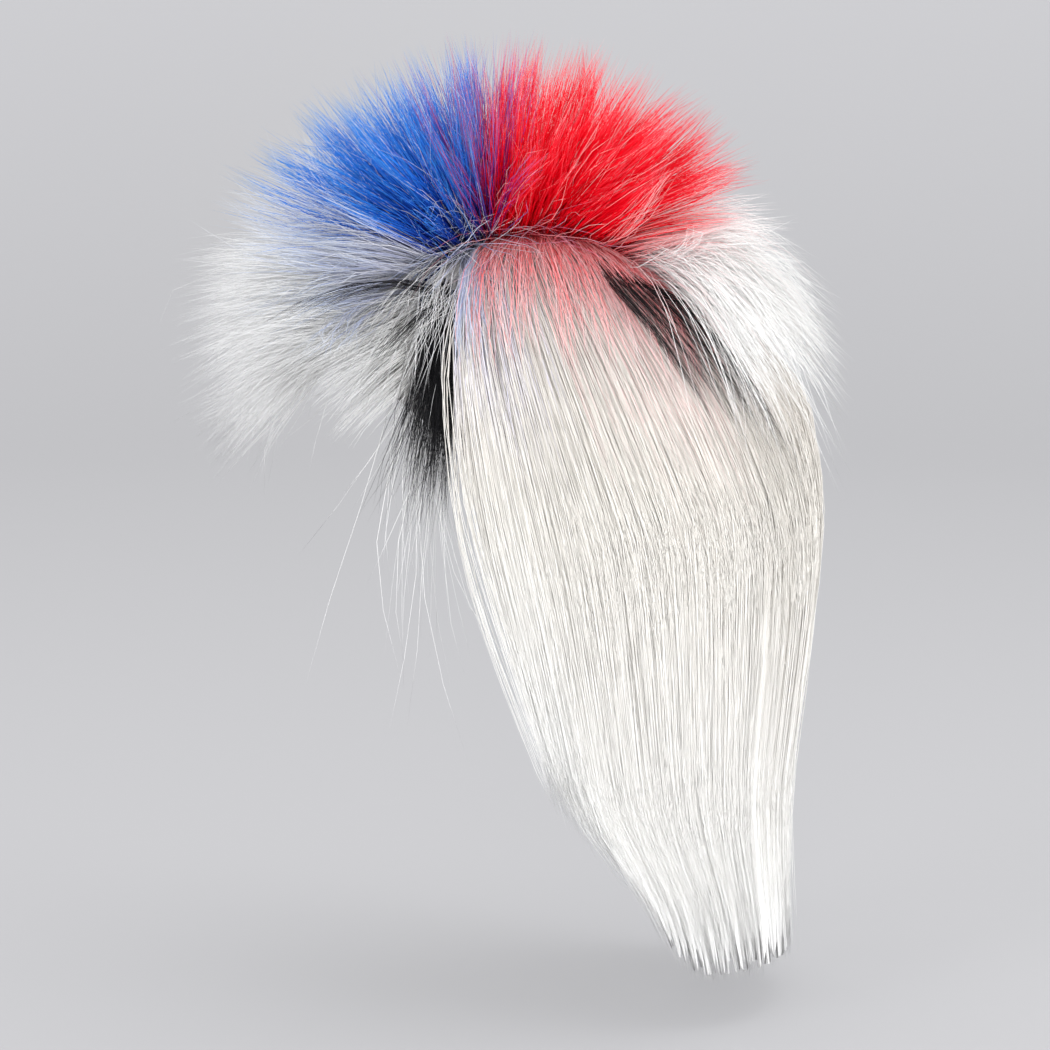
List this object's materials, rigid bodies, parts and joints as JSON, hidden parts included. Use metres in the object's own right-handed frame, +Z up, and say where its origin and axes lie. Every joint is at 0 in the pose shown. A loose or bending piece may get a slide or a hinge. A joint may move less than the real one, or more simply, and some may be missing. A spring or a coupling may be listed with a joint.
{
  "type": "mullet wig",
  "caption": "Costume wig with spiky blue and red fur on the crown, a white fringe, black temple tufts and long straight white hair at the sides and back.",
  "frame": {"origin": "inside of the cap's top, where it rests on the crown of the head", "axes": "+Z up, the wearer faces -Y, and +X is the wearer's left"},
  "size_m": [0.2444, 0.3346, 0.4855],
  "materials": {
    "cap_knit": "matt off-white knitted backing, sewn as a cap",
    "fur_blue": "soft synthetic fur, royal blue, navy at the roots and pale at the tips",
    "fur_red": "soft synthetic fur, bright red, pink towards the tips",
    "fur_white": "soft synthetic fur, white, fine and see-through at the tips",
    "fur_black": "soft synthetic fur, black",
    "hair_white": "long straight synthetic hair, white with a soft satin sheen"
  },
  "bodies": {
    "root": {"cap": "cap_knit", "crown_blue": "fur_blue", "crown_red": "fur_red", "halo_white": "fur_white", "fringe_white": "fur_white", "temple_black_left": "fur_black", "temple_black_right": "fur_black", "streak_black_left": "fur_black", "streak_black_right": "fur_black", "side_hair_left": "hair_white", "side_hair_right": "hair_white", "back_hair": "hair_white", "nape_mullet": "hair_white"}
  },
  "joints": []
}
